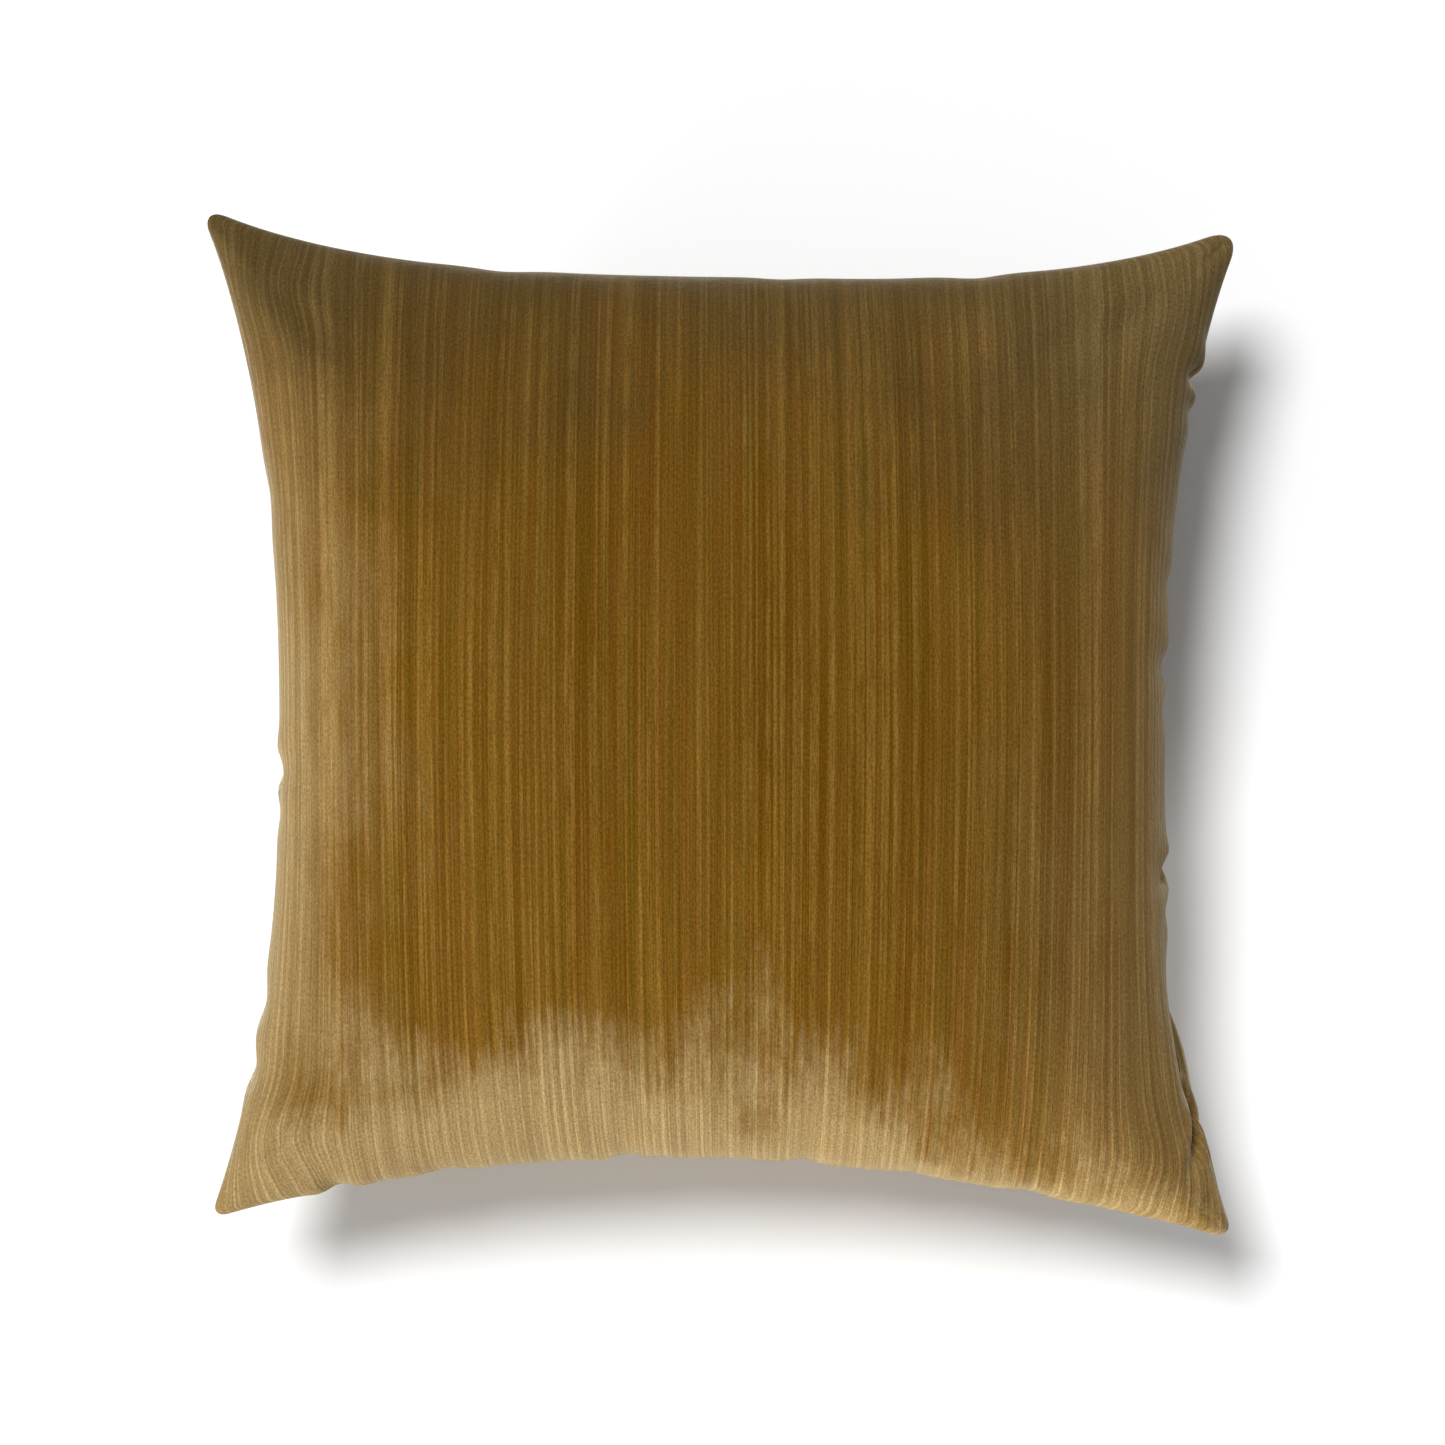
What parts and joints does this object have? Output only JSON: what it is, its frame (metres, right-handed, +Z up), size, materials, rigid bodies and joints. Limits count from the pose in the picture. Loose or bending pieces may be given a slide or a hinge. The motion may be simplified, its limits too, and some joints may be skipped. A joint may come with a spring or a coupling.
{
  "type": "throw pillow",
  "caption": "Square velvet throw pillow with a knife-edge cover, a concealed zip in the bottom seam and a separate filled insert.",
  "frame": {"origin": "on the surface the pillow lies on, under the middle of its outline", "axes": "+Z up out of the front panel, +Y towards the top edge, +X towards the right edge as the front is looked at"},
  "size_m": [0.4898, 0.4856, 0.1822],
  "materials": {
    "velvet": "satin",
    "cover_thread": "matte",
    "zip_tape": "matte",
    "zip_nylon": "satin",
    "zip_metal": "polished",
    "calico": "matte",
    "white_thread": "matte",
    "fibre": "matte"
  },
  "bodies": {
    "cover": {"front_panel": "velvet", "back_panel": "velvet", "seam_needle_thread": "cover_thread", "seam_bobbin_thread": "cover_thread", "overlock_thread_front": "cover_thread", "overlock_thread_back": "cover_thread", "zip_tape_front": "zip_tape", "zip_tape_back": "zip_tape", "zip_coil_front": "zip_nylon", "zip_coil_back": "zip_nylon", "zip_top_stop_front": "zip_metal", "zip_top_stop_back": "zip_metal", "zip_bottom_stop": "zip_metal", "zip_stitch_front": "cover_thread", "zip_stitch_back": "cover_thread", "insert_casing_front": "calico", "insert_casing_back": "calico", "insert_seam_thread": "white_thread", "insert_closing_stitch": "white_thread", "insert_filling": "fibre"},
    "slider": {"zip_slider": "zip_metal"},
    "pull": {"zip_pull": "zip_metal"}
  },
  "joints": [
    {"name": "zip_travel", "type": "hinge", "parent": "cover", "child": "slider", "pos_m": [-0.0163, -1.085, 0.086], "axis": [0, 0, 1], "range_deg": [0, 22.4]},
    {"name": "pull_swing", "type": "hinge", "parent": "slider", "child": "pull", "pos_m": [0.17121, -0.22434, 0.086], "axis": [0, 0, 1], "range_deg": [0, 170]}
  ]
}
